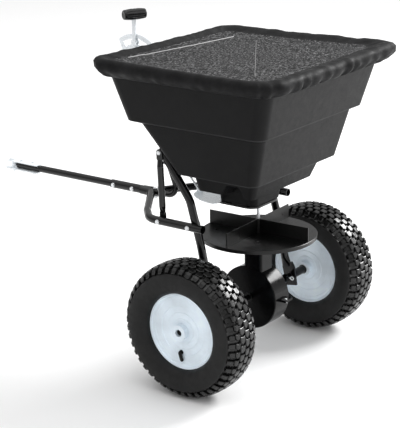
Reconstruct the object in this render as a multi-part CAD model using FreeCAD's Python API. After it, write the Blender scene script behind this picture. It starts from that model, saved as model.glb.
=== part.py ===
import FreeCAD, Part
import math
import os
from collections import namedtuple

# Tow-behind broadcast spreader.  Millimetres, +X towards the hitch, +Y the
# machine's left, +Z up.  Every dimension below is measured from the point on the
# ground straight under the axle; save() then moves the whole machine by ROW_SHIFT
# so that the origin is the middle of its footprint.

V = FreeCAD.Vector
X_AXIS = V(1, 0, 0)
Y_AXIS = V(0, 1, 0)
Z_AXIS = V(0, 0, 1)

# wheels: 13 x 5.00-6 pneumatic
TYRE_R = 165.0
TYRE_HALF = 55.0
TREAD_HALF = 46.0
SHOULDER_R = 156.0
SIDEWALL_R = 122.0
TYRE_WALL = 6.5
HALF_TRACK = 268.0
RIM_R = 92.5
BEAD_R = 76.0
RIM_FACE = 31.0
RIM_LIP = 34.5
RIM_SHEET = 2.5
HUB_R = 19.0
HUB_BORE_R = 12.0
HUB_MOUTH_R = 9.0
HUB_HALF = 46.5
HUB_LIP = 11.0
HUB_BUSH_LEN = 22.0
VALVE_R = 4.2
VALVE_RADIUS_FROM_AXLE = 55.0
VALVE_X = 6.0

# axle
AXLE_Z = TYRE_R
AXLE_R = 6.5
AXLE_HALF = HALF_TRACK + 41.5
RUNNING = 0.05
SPACER_R = 10.5
COLLAR_R = 11.0
COLLAR_Y = 134.0
COLLAR_HALF = 6.0
COTTER_Y = 147.0
COTTER_R = 2.0
DRIVE_PIN_R = 3.0
RING_R = 8.6

# impeller and its shaft
SHAFT_X = -11.5
SHAFT_R = 4.0
DISC_R = 144.0
DISC_TOP = 328.5
DISC_THICK = 3.0
DISC_LIP = 9.0
VANE_R = 141.0
VANE_HIGH = 35.0
VANE_THICK = 3.0
VANE_TURN = 2.0
IMPELLER_HUB_R = 19.0
IMPELLER_HUB_LOW = 303.5
SHAFT_TOP = 446.0
AGITATOR_Z = 434.0
AGITATOR_HALF = 17.0

# gears: crown on the axle, pinion on the shaft
CROWN_TEETH = 60
PINION_TEETH = 10
CROWN_MEAN_R = 60.0
TOOTH_FACE = 6.0
TOOTH_DEPTH = 4.0
TOOTH_TIP_THICK = 1.1
TOOTH_ROOT_THICK = 1.8
PINION_R = CROWN_MEAN_R * PINION_TEETH / CROWN_TEETH

# gear case
CASE_R = 80.0
CASE_WALL = 3.0
CASE_LEFT = 27.0
CASE_RIGHT = -34.0
CASE_LUG_X = 95.0
CASE_LUG_Y = (-26.0, 4.0)
CASE_LUG_HALF = 3.0
CASE_SCREW_X = 90.0
CASE_SCREW_Y = -5.0
NECK_HALF = 26.0
NECK_TOP = 301.0
NECK_BORE_R = 17.0

# hopper: outline levels as (height, front x, rear x, half width, corner radius)
Level = namedtuple("Level", "z front rear half corner")
HOPPER_LEVELS = [
    Level(411.3, 66.0, -40.0, 56.0, 14.0),
    Level(443.0, 68.0, -44.0, 60.0, 14.0),
    Level(453.0, 76.0, -83.0, 129.5, 12.0),
    Level(489.5, 82.0, -98.0, 141.5, 16.0),
    Level(501.5, 103.5, -123.5, 183.0, 22.0),
    Level(618.0, 195.5, -154.0, 204.0, 26.0),
    Level(626.0, 218.0, -171.0, 226.0, 28.0),
    Level(752.0, 257.0, -205.0, 251.0, 31.0),
]
HOPPER_WALL = 4.0
LIP_OUT = 6.0
LIP_THICK = 7.0
SCOOP_X_LOW = (-70.0, 27.0)
SCOOP_X_HIGH = (-52.0, -16.0)
SCOOP_Y = 76.0
SCOOP_TOP = 482.0
SCOOP_ROUND = 10.0
PORT_X = (8.0, 54.0)
PORT_HALF = 24.0

# outlet base and shut-off gate
BASE_LOW = 404.0
BASE_TOP = 408.7
BASE_X = (-40.0, 79.0)
BASE_HALF = 58.0
SIDE_RAIL_X = (-14.0, 26.5)
SIDE_RAIL_Y = (39.5, 56.0)
REAR_RAIL_X = (-36.0, -22.0)
REAR_RAIL_HALF = 38.0
GATE_Z = 409.0
GATE_THICK = 2.0
GATE_REAR = 31.0
GATE_TONGUE = 38.0
GATE_WING = [(54.0, 38.0), (56.0, 81.0), (60.0, 84.5), (74.0, 85.0), (88.0, 83.2), (103.0, 78.8),
             (117.0, 72.5), (132.0, 63.5), (145.0, 51.5), (151.5, 42.0), (155.0, 31.0), (157.0, 16.0)]
GATE_TAB_Y = 22.0
GATE_TAB_X = (139.0, 157.0)
ROD_FOOT = V(148.0, GATE_TAB_Y, 421.0)

# frame tubes
TUBE_Z = 378.0
TOW_R = 9.25
TOW_WALL = 2.0
TOW_FRONT = 776.0
TOW_REAR = 290.0
SLEEVE_R = 11.0
SLEEVE_FRONT = 446.0
SLEEVE_REAR = 323.0
SIDE_R = 10.0
SIDE_WALL = 1.6
SIDE_Y = 184.0
SIDE_REAR = 21.0
SUPPORT_R = 10.0
SUPPORT_WALL = 1.6
SUPPORT_Y = 163.5
STRUT_R = 8.0
STRUT_X = 148.0
TAB_THICK = 4.2
TAB_HALF = 8.6
SUPPORT_TAB = 5.0
CROWN_BOLT = (151.5, 545.0)

# hitch
PLATE_THICK = 3.0
PLATE_HALF = 15.0
PLATE_FRONT = 816.0
PLATE_REAR = 697.0
PIN_X = 791.0
PIN_R = 6.0
PIN_STEP = 0.6
PIN_STEP_GAP = 0.5
PIN_HEAD_R = 10.0
PIN_HEAD = 4.0
PIN_TIP = 9.0

# flow control
POST_R = 7.1
POST_WALL = 1.5
PIVOT = V(349.5, 0.0, 696.0)
POST_ELBOW_R = 24.0
POST_FOOT_X = 240.0
PLATE_Y = (7.3, 10.3)
QUADRANT_R = 86.0
QUADRANT_HALF_ANGLE = 37.0
SLOT_R = (60.0, 73.5)
SLOT_HALF_ANGLE = 30.0
LEVER_Y = (10.7, 15.7)
LEVER_HALF = 5.0
LEVER_TOP = 826.0
ARM_LENGTH = 42.0
ROD_SLOT = (-0.6, 5.5)
ROD_SLOT_HALF = 3.3
GUIDE_R = 4.5
GRIP_Z = 832.0
GRIP_R = 13.0
GRIP_LENGTH = 60.0
GRIP_TURN = 28.0
ROD_R = 2.5

# rain cover
COVER_FRONT = 277.0
COVER_REAR = -237.0
COVER_HALF = 285.0
COVER_LOW = 733.0
COVER_TOP = 779.0
COVER_CORNER = 42.0
COVER_GAP = 1.5

# fasteners
BOLT_R = 3.0
DRILL_GAP = 0.15
HEAD_R = 5.6
HEAD_HIGH = 4.0
NUT_R = 6.4
NUT_HIGH = 5.0
NUT_SEAT_R = 7.4

ROW_SHIFT = V(-(PLATE_FRONT + COVER_REAR) / 2, 0, 0)

Bolt = namedtuple("Bolt", "head direction grip radius")


def save(name, shape):
    """Write one node, moved so that the origin is the middle of the footprint."""
    moved = shape.copy()
    moved.translate(ROW_SHIFT)
    moved.exportStep(os.path.join("parts", name + ".step"))


# ---------------------------------------------------------------- basic shapes

def block(x_span, y_span, z_span):
    corner = V(min(x_span), min(y_span), min(z_span))
    size = [abs(span[1] - span[0]) for span in (x_span, y_span, z_span)]
    return Part.makeBox(size[0], size[1], size[2], corner)


def rod(start, end, radius):
    along = end - start
    return Part.makeCylinder(radius, along.Length, start, along)


def pipe(start, end, outer, inner):
    return rod(start, end, outer).cut(rod(start, end, inner))


def across(x, z, y_start, y_end, radius):
    """A cylinder along Y."""
    return rod(V(x, y_start, z), V(x, y_end, z), radius)


def upright(x, y, z_low, z_high, radius):
    return rod(V(x, y, z_low), V(x, y, z_high), radius)


def group(shapes):
    return Part.makeCompound(shapes)


def mirrored(shape):
    return shape.mirror(V(0, 0, 0), Y_AXIS)


def prism_xz(points, y_start, y_end):
    """A flat outline in the XZ plane, thickened along Y."""
    corners = [V(x, y_start, z) for x, z in points]
    face = Part.Face(Part.makePolygon(corners + corners[:1]))
    return face.extrude(V(0, y_end - y_start, 0))


def flat_bar(start, end, half_wide, y_span):
    """Straight flat bar between two points of the XZ plane."""
    along = (end - start).normalize()
    side = V(-along.z, 0, along.x) * half_wide
    corners = [start + side, start - side, end - side, end + side]
    return prism_xz([(c.x, c.z) for c in corners], y_span[0], y_span[1])


def prism_xy(points, z_low, z_high):
    corners = [V(x, y, z_low) for x, y in points]
    face = Part.Face(Part.makePolygon(corners + corners[:1]))
    return face.extrude(V(0, 0, z_high - z_low))


def turned_y(profile, x=0.0, z=AXLE_Z):
    """Revolve an outline of (radius, y) points about the line along Y at x, z."""
    corners = [V(x + radius, y, z) for radius, y in profile]
    face = Part.Face(Part.makePolygon(corners + corners[:1]))
    return face.revolve(V(x, 0, z), Y_AXIS, 360)


def turned_z(profile, x=0.0, y=0.0):
    """Revolve an outline of (radius, z) points about the upright at x, y."""
    corners = [V(x + radius, y, z) for radius, z in profile]
    face = Part.Face(Part.makePolygon(corners + corners[:1]))
    return face.revolve(V(x, y, 0), Z_AXIS, 360)


def arc_points(radius, start_deg, end_deg, steps, centre=(0.0, 0.0)):
    """Points along an arc, used where an outline turns a round corner."""
    turn = (end_deg - start_deg) / steps
    angles = [math.radians(start_deg + turn * step) for step in range(steps + 1)]
    return [(centre[0] + radius * math.cos(a), centre[1] + radius * math.sin(a)) for a in angles]


def rounded_outline(front, rear, half, corner, z):
    """A rounded rectangle, level at height z, as one closed wire."""
    edges = []
    centres = [(front - corner, half - corner), (rear + corner, half - corner),
               (rear + corner, corner - half), (front - corner, corner - half)]
    ends = []
    for quarter, (cx, cy) in enumerate(centres):
        points = []
        for part in (0.0, 0.5, 1.0):
            angle = math.radians(90 * (quarter + part))
            points.append(V(cx + corner * math.cos(angle), cy + corner * math.sin(angle), z))
        ends.append(points)
    for quarter in range(4):
        start, middle, end = ends[quarter]
        edges.append(Part.Arc(start, middle, end).toShape())
        edges.append(Part.makeLine(end, ends[(quarter + 1) % 4][0]))
    return Part.Wire(edges)


def rounded_slab(front, rear, half, corner, z_low, z_high):
    face = Part.Face(rounded_outline(front, rear, half, corner, z_low))
    return face.extrude(V(0, 0, z_high - z_low))


def tiers(levels):
    """Straight-sided stack through a series of rounded outlines."""
    wires = [rounded_outline(lv.front, lv.rear, lv.half, lv.corner, lv.z) for lv in levels]
    return Part.makeLoft(wires, True, True)


def route(points, bends):
    """A path of straight runs; each inner point is rounded with its bend radius."""
    edges = []
    at = points[0]
    for index, bend in enumerate(bends, start=1):
        corner = points[index]
        back = (points[index - 1] - corner).normalize()
        ahead = (points[index + 1] - corner).normalize()
        half_angle = math.acos(max(-1.0, min(1.0, back.dot(ahead)))) / 2
        setback = bend / math.tan(half_angle)
        start = corner + back * setback
        end = corner + ahead * setback
        bisector = (back + ahead).normalize()
        middle = corner + bisector * (bend / math.sin(half_angle) - bend)
        edges.append(Part.makeLine(at, start))
        edges.append(Part.Arc(start, middle, end).toShape())
        at = end
    edges.append(Part.makeLine(at, points[-1]))
    return Part.Wire(edges)


def swept(path, radius):
    """A round bar along a path."""
    first = path.Edges[0]
    start = first.valueAt(first.FirstParameter)
    heading = first.tangentAt(first.FirstParameter)
    section = Part.Wire(Part.makeCircle(radius, start, heading))
    return path.makePipeShell([section], True, False)


def bent_tube(points, bends, outer, wall):
    path = route(points, bends)
    return swept(path, outer).cut(swept(path, outer - wall))


def oval(centre, heading, wide, half_wide, half_thin):
    """A closed ellipse across a heading, its long radius along wide."""
    turn = FreeCAD.Rotation(wide, heading.cross(wide), heading, "ZXY")
    ellipse = Part.Ellipse(V(0, 0, 0), half_wide, half_thin).toShape()
    ellipse.Placement = FreeCAD.Placement(centre, turn)
    return Part.Wire(ellipse)


# ------------------------------------------------------------------- fasteners

def shank(bolt, extra=0.0):
    length = bolt.grip + NUT_HIGH + 1.5
    return rod(bolt.head, bolt.head + bolt.direction * length, bolt.radius + extra)


def round_head_bolt(bolt):
    """Domed head, plain shank, the end showing past its nut."""
    back = bolt.direction * -HEAD_HIGH
    head = rod(bolt.head, bolt.head + back, HEAD_R)
    rim = [edge for edge in head.Edges if (edge.CenterOfMass - (bolt.head + back)).Length < 0.1]
    return head.makeFillet(HEAD_HIGH * 0.6, rim[:1]).fuse(shank(bolt)).removeSplitter()


def hexagon_nut(bolt):
    start = bolt.head + bolt.direction * bolt.grip
    side = bolt.direction.cross(Z_AXIS if abs(bolt.direction.z) < 0.9 else X_AXIS).normalize()
    other = bolt.direction.cross(side)
    corners = []
    for step in range(6):
        angle = math.radians(60 * step)
        corners.append(start + side * (NUT_R * math.cos(angle)) + other * (NUT_R * math.sin(angle)))
    face = Part.Face(Part.makePolygon(corners + corners[:1]))
    return face.extrude(bolt.direction * NUT_HIGH).cut(shank(bolt, 0.02))


def drilled(shape, bolts):
    for bolt in bolts:
        shape = shape.cut(shank(bolt, DRILL_GAP))
    return shape


# ---------------------------------------------------------------------- wheels

def tyre():
    """Carcass with a crowned tread and round sidewalls, hollow, open at the rim."""
    bead = RIM_FACE - RIM_SHEET - 1.3
    under_lip = RIM_LIP - RIM_SHEET - 0.4
    outer = [(BEAD_R + 0.3, bead), (RIM_R - 4.7, bead + 0.7), (RIM_R - 1.9, under_lip),
             (RIM_R + 0.5, under_lip), (RIM_R + 2, TYRE_HALF - 12),
             (SIDEWALL_R - 16, TYRE_HALF - 3), (SIDEWALL_R, TYRE_HALF), (SIDEWALL_R + 18, TYRE_HALF - 2),
             (SHOULDER_R, TREAD_HALF), (TYRE_R - 2, TREAD_HALF * 0.6), (TYRE_R, TREAD_HALF * 0.25)]
    inner = [(BEAD_R + 0.3, bead - TYRE_WALL), (RIM_R, bead - TYRE_WALL),
             (SIDEWALL_R - 16, TYRE_HALF - 3 - TYRE_WALL), (SIDEWALL_R + 10, TYRE_HALF - 2 - TYRE_WALL),
             (SHOULDER_R - 9, TREAD_HALF - TYRE_WALL), (TYRE_R - 12, 0.0)]
    far_outer = [(radius, -y) for radius, y in reversed(outer)]
    far_inner = [(radius, -y) for radius, y in inner]
    return turned_y(outer + far_outer + far_inner + inner[-2::-1])


def inner_tube():
    """Air tube lying on the rim inside the carcass."""
    outer = [(BEAD_R + 0.6, 19.0), (RIM_R, 20.5), (SIDEWALL_R - 16, 43.0), (SIDEWALL_R + 10, 44.0),
             (SHOULDER_R - 11, 37.0), (TYRE_R - 14, 0.0)]
    wall = 2.0
    inner = [(BEAD_R + 0.6 + wall, 17.0), (RIM_R, 18.0), (SIDEWALL_R - 15, 40.5), (SIDEWALL_R + 10, 41.5),
             (SHOULDER_R - 13, 35.0), (TYRE_R - 16.5, 0.0)]
    shell = turned_y(outer + [(radius, -y) for radius, y in reversed(outer[:-1])])
    return shell.cut(turned_y(inner + [(radius, -y) for radius, y in reversed(inner[:-1])]))


def rim_half():
    """Pressed disc with rings, rolled lip and half of the bead seat; outer side +Y."""
    face = RIM_FACE
    back = face - RIM_SHEET
    front_side = [(HUB_R, face), (30, face), (32, face - 2), (44, face - 2), (46, face - 3.5),
                  (60, face - 3.5), (62, face - 1.5), (78, face - 1.5), (80, face), (86, face),
                  (89, RIM_LIP), (RIM_R, RIM_LIP)]
    back_side = [(RIM_R, RIM_LIP - RIM_SHEET), (90, RIM_LIP - RIM_SHEET), (87.5, back), (BEAD_R, back - 1.0),
                 (BEAD_R, 0.0), (BEAD_R - RIM_SHEET, 0.0), (BEAD_R - RIM_SHEET, back - 1.5),
                 (62, back - 1.5), (60, back - 3.5), (46, back - 3.5), (44, back - 2), (32, back - 2),
                 (30, back), (HUB_R, back)]
    return turned_y(front_side + back_side)


def hub():
    """Centre tube of the wheel, necked at its outer (+Y) end."""
    body = across(0, AXLE_Z, -HUB_HALF, HUB_HALF, HUB_R - 0.02)
    body = body.cut(across(0, AXLE_Z, -HUB_HALF, HUB_HALF - HUB_LIP, HUB_BORE_R))
    return body.cut(across(0, AXLE_Z, 0, HUB_HALF + 1, HUB_MOUTH_R))


def hub_bushes():
    inner_end = (-HUB_HALF, HUB_BUSH_LEN - HUB_HALF)
    outer_end = (HUB_HALF - HUB_LIP - HUB_BUSH_LEN, HUB_HALF - HUB_LIP)
    bushes = []
    for start, end in (inner_end, outer_end):
        ring = across(0, AXLE_Z, start, end, HUB_BORE_R - 0.02)
        bushes.append(ring.cut(across(0, AXLE_Z, start - 1, end + 1, AXLE_R + RUNNING)))
    return bushes


def valve():
    """Rubber air valve through the disc, bent over and lying flat towards the rim."""
    low = AXLE_Z - VALVE_RADIUS_FROM_AXLE
    seat = across(VALVE_X, low, RIM_FACE - 8, RIM_FACE, VALVE_R + 0.8)
    knee = V(VALVE_X, RIM_FACE + 2.5, low)
    tip = V(VALVE_X - 7, RIM_FACE + 4.5, low - 15)
    stem = rod(knee, tip, VALVE_R)
    ends = [Part.makeSphere(VALVE_R, knee), Part.makeSphere(VALVE_R, tip)]
    return seat.fuse([stem] + ends).removeSplitter()


def drive_pin():
    at = HALF_TRACK - HUB_HALF + 9
    return rod(V(0, at, AXLE_Z - HUB_R - 3), V(0, at, AXLE_Z + HUB_R + 3), DRIVE_PIN_R)


def drive_pin_hole():
    at = HALF_TRACK - HUB_HALF + 9
    return rod(V(0, at, AXLE_Z - 40), V(0, at, AXLE_Z + 40), DRIVE_PIN_R + 0.02)


def save_wheel(side_name, is_left):
    """Wheel parts are drawn about y = 0 with the outer side towards +Y."""
    valve_hole = across(VALVE_X, AXLE_Z - VALVE_RADIUS_FROM_AXLE, 0, 60, VALVE_R + 2.05)
    outer_rim = rim_half().cut(valve_hole)
    inner_rim = mirrored(rim_half())
    pieces = {"tyre": tyre(), "inner_tube": inner_tube(), "rim_outer": outer_rim, "rim_inner": inner_rim,
              "hub": hub(), "valve": valve(), "hub_bushes": group(hub_bushes())}
    for name, shape in pieces.items():
        shape.translate(V(0, HALF_TRACK, 0))
        if is_left and name in ("hub", "hub_bushes"):
            shape = group([solid.cut(drive_pin_hole()) for solid in shape.Solids])
        if not is_left:
            shape = mirrored(shape)
        save(name + "_" + side_name, shape)


# ------------------------------------------------------------------- axle line

def axle():
    bar = across(0, AXLE_Z, -AXLE_HALF, AXLE_HALF, AXLE_R).cut(drive_pin_hole())
    for y in (-COTTER_Y, COTTER_Y):
        bar = bar.cut(rod(V(-30, y, AXLE_Z), V(30, y, AXLE_Z), COTTER_R + 0.02))
    for y in ring_places():
        core = across(0, AXLE_Z, y - 2, y + 2, AXLE_R - 1.2)
        bar = bar.cut(across(0, AXLE_Z, y - 0.9, y + 0.9, 20).cut(core))
    return bar.cut(crown_key())


def ring_places():
    """Middle of the retaining ring against each wheel's outer bush."""
    at = HALF_TRACK + HUB_HALF - HUB_LIP + 1.2
    return (-at, at)


def retaining_rings():
    rings = []
    for y in ring_places():
        ring = across(0, AXLE_Z, y - 0.8, y + 0.8, RING_R)
        ring = ring.cut(across(0, AXLE_Z, y - 2, y + 2, AXLE_R - 1.15))
        rings.append(ring.cut(block((-1.5, 1.5), (y - 3, y + 3), (AXLE_Z, AXLE_Z + 20))))
    return group(rings)


def spacer():
    """Sleeve that keeps the wheel away from the frame; left side."""
    start = SUPPORT_Y + SUPPORT_TAB / 2 + 4.0
    end = HALF_TRACK - HUB_HALF - 0.3
    body = across(0, AXLE_Z, start, end, SPACER_R)
    return body.cut(across(0, AXLE_Z, start - 1, end + 1, AXLE_R + 0.02))


def axle_collars():
    collars = []
    for side in (-1, 1):
        start = side * (COLLAR_Y - COLLAR_HALF)
        end = side * (COLLAR_Y + COLLAR_HALF)
        collars.append(pipe(V(0, start, AXLE_Z), V(0, end, AXLE_Z), COLLAR_R, AXLE_R + 0.02))
    return group(collars)


def cotter_pins():
    pins = []
    for y in (-COTTER_Y, COTTER_Y):
        leg = rod(V(-12, y, AXLE_Z), V(12, y, AXLE_Z), COTTER_R)
        eye = Part.makeTorus(4.0, 1.4, V(-15.5, y, AXLE_Z), Y_AXIS)
        pins.append(leg.fuse(eye))
    return group(pins)


def crown_key():
    return rod(V(-40, 21.5, AXLE_Z), V(40, 21.5, AXLE_Z), 1.5)


def crown_gear():
    """Face gear on the axle, teeth towards -Y, fixed by a cross pin in its boss."""
    face_y = PINION_R + TOOTH_DEPTH / 2
    wheel = turned_y([(AXLE_R + 0.02, face_y), (CROWN_MEAN_R + TOOTH_FACE / 2, face_y),
                      (CROWN_MEAN_R + TOOTH_FACE / 2, face_y + 3.5), (16, face_y + 3.5), (14, 23.5),
                      (AXLE_R + 0.02, 23.5)])
    inner_x = CROWN_MEAN_R - TOOTH_FACE / 2
    outer_x = CROWN_MEAN_R + TOOTH_FACE / 2
    tip_y = face_y - TOOTH_DEPTH
    corners = [V(inner_x, face_y + 0.2, AXLE_Z - TOOTH_ROOT_THICK / 2),
               V(inner_x, tip_y, AXLE_Z - TOOTH_TIP_THICK / 2),
               V(inner_x, tip_y, AXLE_Z + TOOTH_TIP_THICK / 2),
               V(inner_x, face_y + 0.2, AXLE_Z + TOOTH_ROOT_THICK / 2)]
    section = Part.Face(Part.makePolygon(corners + corners[:1]))
    tooth = section.extrude(V(outer_x - inner_x, 0, 0))
    contact = math.degrees(math.atan2(math.sqrt(CROWN_MEAN_R ** 2 - SHAFT_X ** 2), SHAFT_X))
    pitch = 360.0 / CROWN_TEETH
    teeth = []
    for index in range(CROWN_TEETH):
        copy = tooth.copy()
        copy.rotate(V(0, 0, AXLE_Z), Y_AXIS, -(contact + pitch * (index + 0.5)))
        teeth.append(copy)
    return wheel.fuse(teeth).cut(crown_key())


def crown_pin():
    return rod(V(-14.5, 21.5, AXLE_Z), V(14.5, 21.5, AXLE_Z), 1.48)


# --------------------------------------------------------------------- impeller

def impeller():
    """Spreading disc with a turned-down rim, four upright vanes and a hub below."""
    under = DISC_TOP - DISC_THICK
    lip_low = DISC_TOP - DISC_LIP
    disc = turned_z([(SHAFT_R + 0.02, under), (DISC_R - 2.5, under), (DISC_R - 2.5, lip_low),
                     (DISC_R, lip_low), (DISC_R, DISC_TOP - 1.0), (DISC_R - 1.0, DISC_TOP),
                     (SHAFT_R + 0.02, DISC_TOP)], SHAFT_X)
    hub_bore = upright(SHAFT_X, 0, IMPELLER_HUB_LOW - 1, DISC_TOP + VANE_HIGH + 1, SHAFT_R + 0.02)
    boss = upright(SHAFT_X, 0, IMPELLER_HUB_LOW, under + 1, IMPELLER_HUB_R)
    core = upright(SHAFT_X, 0, DISC_TOP - 1, DISC_TOP + VANE_HIGH, 6.5)
    vanes = []
    for quarter in range(4):
        vane = block((SHAFT_X + 3, SHAFT_X + VANE_R), (-VANE_THICK / 2, VANE_THICK / 2),
                     (DISC_TOP - 1, DISC_TOP + VANE_HIGH))
        vane.rotate(V(SHAFT_X, 0, 0), Z_AXIS, 90 * quarter + VANE_TURN)
        vanes.append(vane)
    body = disc.fuse([boss, core] + vanes).cut(hub_bore).removeSplitter()
    return body.cut(impeller_pin_bar(0.02))


def impeller_pin_bar(extra):
    at = IMPELLER_HUB_LOW + 9
    reach = IMPELLER_HUB_R + 2
    return rod(V(SHAFT_X, -reach, at), V(SHAFT_X, reach, at), 2.0 + extra)


def agitator_bar(extra):
    end = V(SHAFT_X, AGITATOR_HALF, AGITATOR_Z)
    return rod(V(SHAFT_X, -AGITATOR_HALF, AGITATOR_Z), end, 2.0 + extra)


def impeller_shaft():
    low = AXLE_Z + CROWN_MEAN_R - 12
    bar = upright(SHAFT_X, 0, low, SHAFT_TOP, SHAFT_R)
    return bar.cut(impeller_pin_bar(0.02)).cut(agitator_bar(0.02))


def pinion_middle():
    return AXLE_Z + math.sqrt(CROWN_MEAN_R ** 2 - SHAFT_X ** 2)


def pinion():
    middle = pinion_middle()
    root = PINION_R - TOOTH_DEPTH / 2 - 0.6
    tip = PINION_R + TOOTH_DEPTH / 2 - 0.4
    low = middle - TOOTH_FACE / 2
    high = middle + TOOTH_FACE / 2
    body = upright(SHAFT_X, 0, low, high + 8, root)
    corners = [(root - 1, -TOOTH_ROOT_THICK / 2), (tip, -TOOTH_TIP_THICK / 2),
               (tip, TOOTH_TIP_THICK / 2), (root - 1, TOOTH_ROOT_THICK / 2)]
    tooth = prism_xy(corners, low, high)
    teeth = []
    for index in range(PINION_TEETH):
        copy = tooth.copy()
        copy.rotate(V(0, 0, 0), Z_AXIS, 90 + 360.0 * index / PINION_TEETH)
        copy.translate(V(SHAFT_X, 0, 0))
        teeth.append(copy)
    bore = upright(SHAFT_X, 0, low - 1, high + 9, SHAFT_R + 0.02)
    return body.fuse(teeth).cut(bore)


# -------------------------------------------------------------------- gear case

def case_shell():
    """Round case about the axle with a square neck up to the impeller."""
    outer = across(0, AXLE_Z, CASE_RIGHT, CASE_LEFT, CASE_R)
    outer = outer.makeFillet(3.0, [e for e in outer.Edges if e.Length > 400])
    neck = block((SHAFT_X - NECK_HALF, SHAFT_X + NECK_HALF), (-NECK_HALF, NECK_HALF),
                 (AXLE_Z + 40, NECK_TOP))
    uprights = [e for e in neck.Edges if abs(e.tangentAt(e.FirstParameter).z) > 0.9]
    neck = neck.makeFillet(6.0, uprights)
    lugs = []
    for side in (-1, 1):
        lugs.append(block((side * (CASE_R - 8), side * CASE_LUG_X), CASE_LUG_Y,
                          (AXLE_Z - CASE_LUG_HALF, AXLE_Z + CASE_LUG_HALF)))
    hollow = across(0, AXLE_Z, CASE_RIGHT + CASE_WALL, CASE_LEFT - CASE_WALL, CASE_R - CASE_WALL)
    bore = upright(SHAFT_X, 0, AXLE_Z, NECK_TOP + 1, NECK_BORE_R)
    axle_hole = across(0, AXLE_Z, CASE_RIGHT - 1, CASE_LEFT + 1, 11.0)
    shell = outer.fuse([neck] + lugs).cut(hollow).cut(bore).cut(axle_hole)
    return drilled(shell, case_bolts())


def case_bolts():
    bolts = []
    for side in (-1, 1):
        at = V(side * CASE_SCREW_X, CASE_SCREW_Y, AXLE_Z + CASE_LUG_HALF)
        bolts.append(Bolt(at, V(0, 0, -1), 2 * CASE_LUG_HALF, 1.6))
    return bolts


def case_screws():
    screws = []
    for bolt in case_bolts():
        head = rod(bolt.head, bolt.head + V(0, 0, 2), 2.8)
        under = bolt.head + V(0, 0, -2 * CASE_LUG_HALF)
        body = rod(bolt.head, under, bolt.radius)
        nut = rod(under + V(0, 0, -2.5), under, 2.8)
        screws.append(head.fuse([body, nut]).removeSplitter())
    return group(screws)


def case_halves():
    shell = case_shell()
    big = 400.0
    above = block((-big, big), (-big, big), (AXLE_Z + 0.05, AXLE_Z + big))
    below = block((-big, big), (-big, big), (AXLE_Z - big, AXLE_Z - 0.05))
    return shell.common(above), shell.common(below)


def case_bushes():
    """Plain bearings for the axle in both walls and for the shaft in the neck."""
    bushes = []
    for start, end in ((CASE_RIGHT, CASE_RIGHT + 5), (CASE_LEFT, CASE_LEFT - 3)):
        bushes.append(pipe(V(0, start, AXLE_Z), V(0, end, AXLE_Z), 10.95, AXLE_R + RUNNING))
    for low, high in ((AXLE_Z + 74, AXLE_Z + 86), (NECK_TOP - 14, NECK_TOP)):
        sleeve = upright(SHAFT_X, 0, low, high, NECK_BORE_R - 0.05)
        bushes.append(sleeve.cut(upright(SHAFT_X, 0, low - 1, high + 1, SHAFT_R + RUNNING)))
    return group(bushes)


# ----------------------------------------------------------------------- hopper

def hopper_front_at(z):
    """Front wall position of the middle tier, which the frame stands against."""
    low, high = HOPPER_LEVELS[4], HOPPER_LEVELS[5]
    return low.front + (high.front - low.front) * (z - low.z) / (high.z - low.z)


def support_top_run():
    """Start, direction and the direction towards the hopper of the support's top run."""
    top, kink = support_points()[:2]
    down = (kink - top).normalize()
    return top, down, V(down.z, 0, -down.x)


def hopper_pad():
    """Moulded rib on the front wall that the left support tube is bolted to."""
    top, down, into = support_top_run()
    face = into * (SUPPORT_R + 0.1)
    high_face = top + down * 16 + face
    low_face = top + down * 50 + face
    high_wall = V(hopper_front_at(high_face.z + 8) - 2, 0, high_face.z + 8)
    low_wall = V(hopper_front_at(low_face.z + 8) - 2, 0, low_face.z + 8)
    corners = [low_wall, low_face, high_face, high_wall]
    return prism_xz([(c.x, c.z) for c in corners], SUPPORT_Y - 9, SUPPORT_Y + 4)


def scoop(extra):
    """Hollow in the lower tier's left side wall, over the spreading disc."""
    foot = HOPPER_LEVELS[1].z - 20
    outline = [(SCOOP_X_LOW[0] - extra, foot), (SCOOP_X_LOW[1] + extra, foot),
               (SCOOP_X_HIGH[1] + extra, SCOOP_TOP + extra), (SCOOP_X_HIGH[0] - extra, SCOOP_TOP + extra)]
    body = prism_xz(outline, SCOOP_Y - extra, SCOOP_Y + 90)
    top_edges = [e for e in body.Edges if abs(e.tangentAt(e.FirstParameter).y) > 0.9
                 and e.CenterOfMass.z > SCOOP_TOP - 1]
    return body.makeFillet(SCOOP_ROUND + extra, top_edges)


def hopper():
    outer = tiers(HOPPER_LEVELS)
    inner_levels = [Level(lv.z + HOPPER_WALL, lv.front - HOPPER_WALL, lv.rear + HOPPER_WALL,
                          lv.half - HOPPER_WALL, lv.corner - HOPPER_WALL) for lv in HOPPER_LEVELS]
    top = HOPPER_LEVELS[-1]
    lip = rounded_slab(top.front + LIP_OUT, top.rear - LIP_OUT, top.half + LIP_OUT, top.corner + LIP_OUT,
                       top.z - LIP_THICK, top.z)
    cavity = tiers(inner_levels).cut(group([scoop(HOPPER_WALL), mirrored(scoop(HOPPER_WALL))]))
    scoops = group([scoop(0), mirrored(scoop(0))])
    pads = [hopper_pad(), mirrored(hopper_pad())]
    body = outer.cut(scoops).fuse([lip] + pads).cut(cavity)
    port = block(PORT_X, (-PORT_HALF, PORT_HALF), (400, 440))
    shaft_hole = upright(SHAFT_X, 0, 400, 430, SHAFT_R + 4.0)
    body = body.cut(port).cut(shaft_hole)
    for bolt in hopper_bolts():
        seat = bolt.head + bolt.direction * bolt.grip
        body = body.cut(rod(seat, seat + bolt.direction * 12, NUT_SEAT_R))
    return drilled(body, hopper_bolts() + base_bolts())


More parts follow.
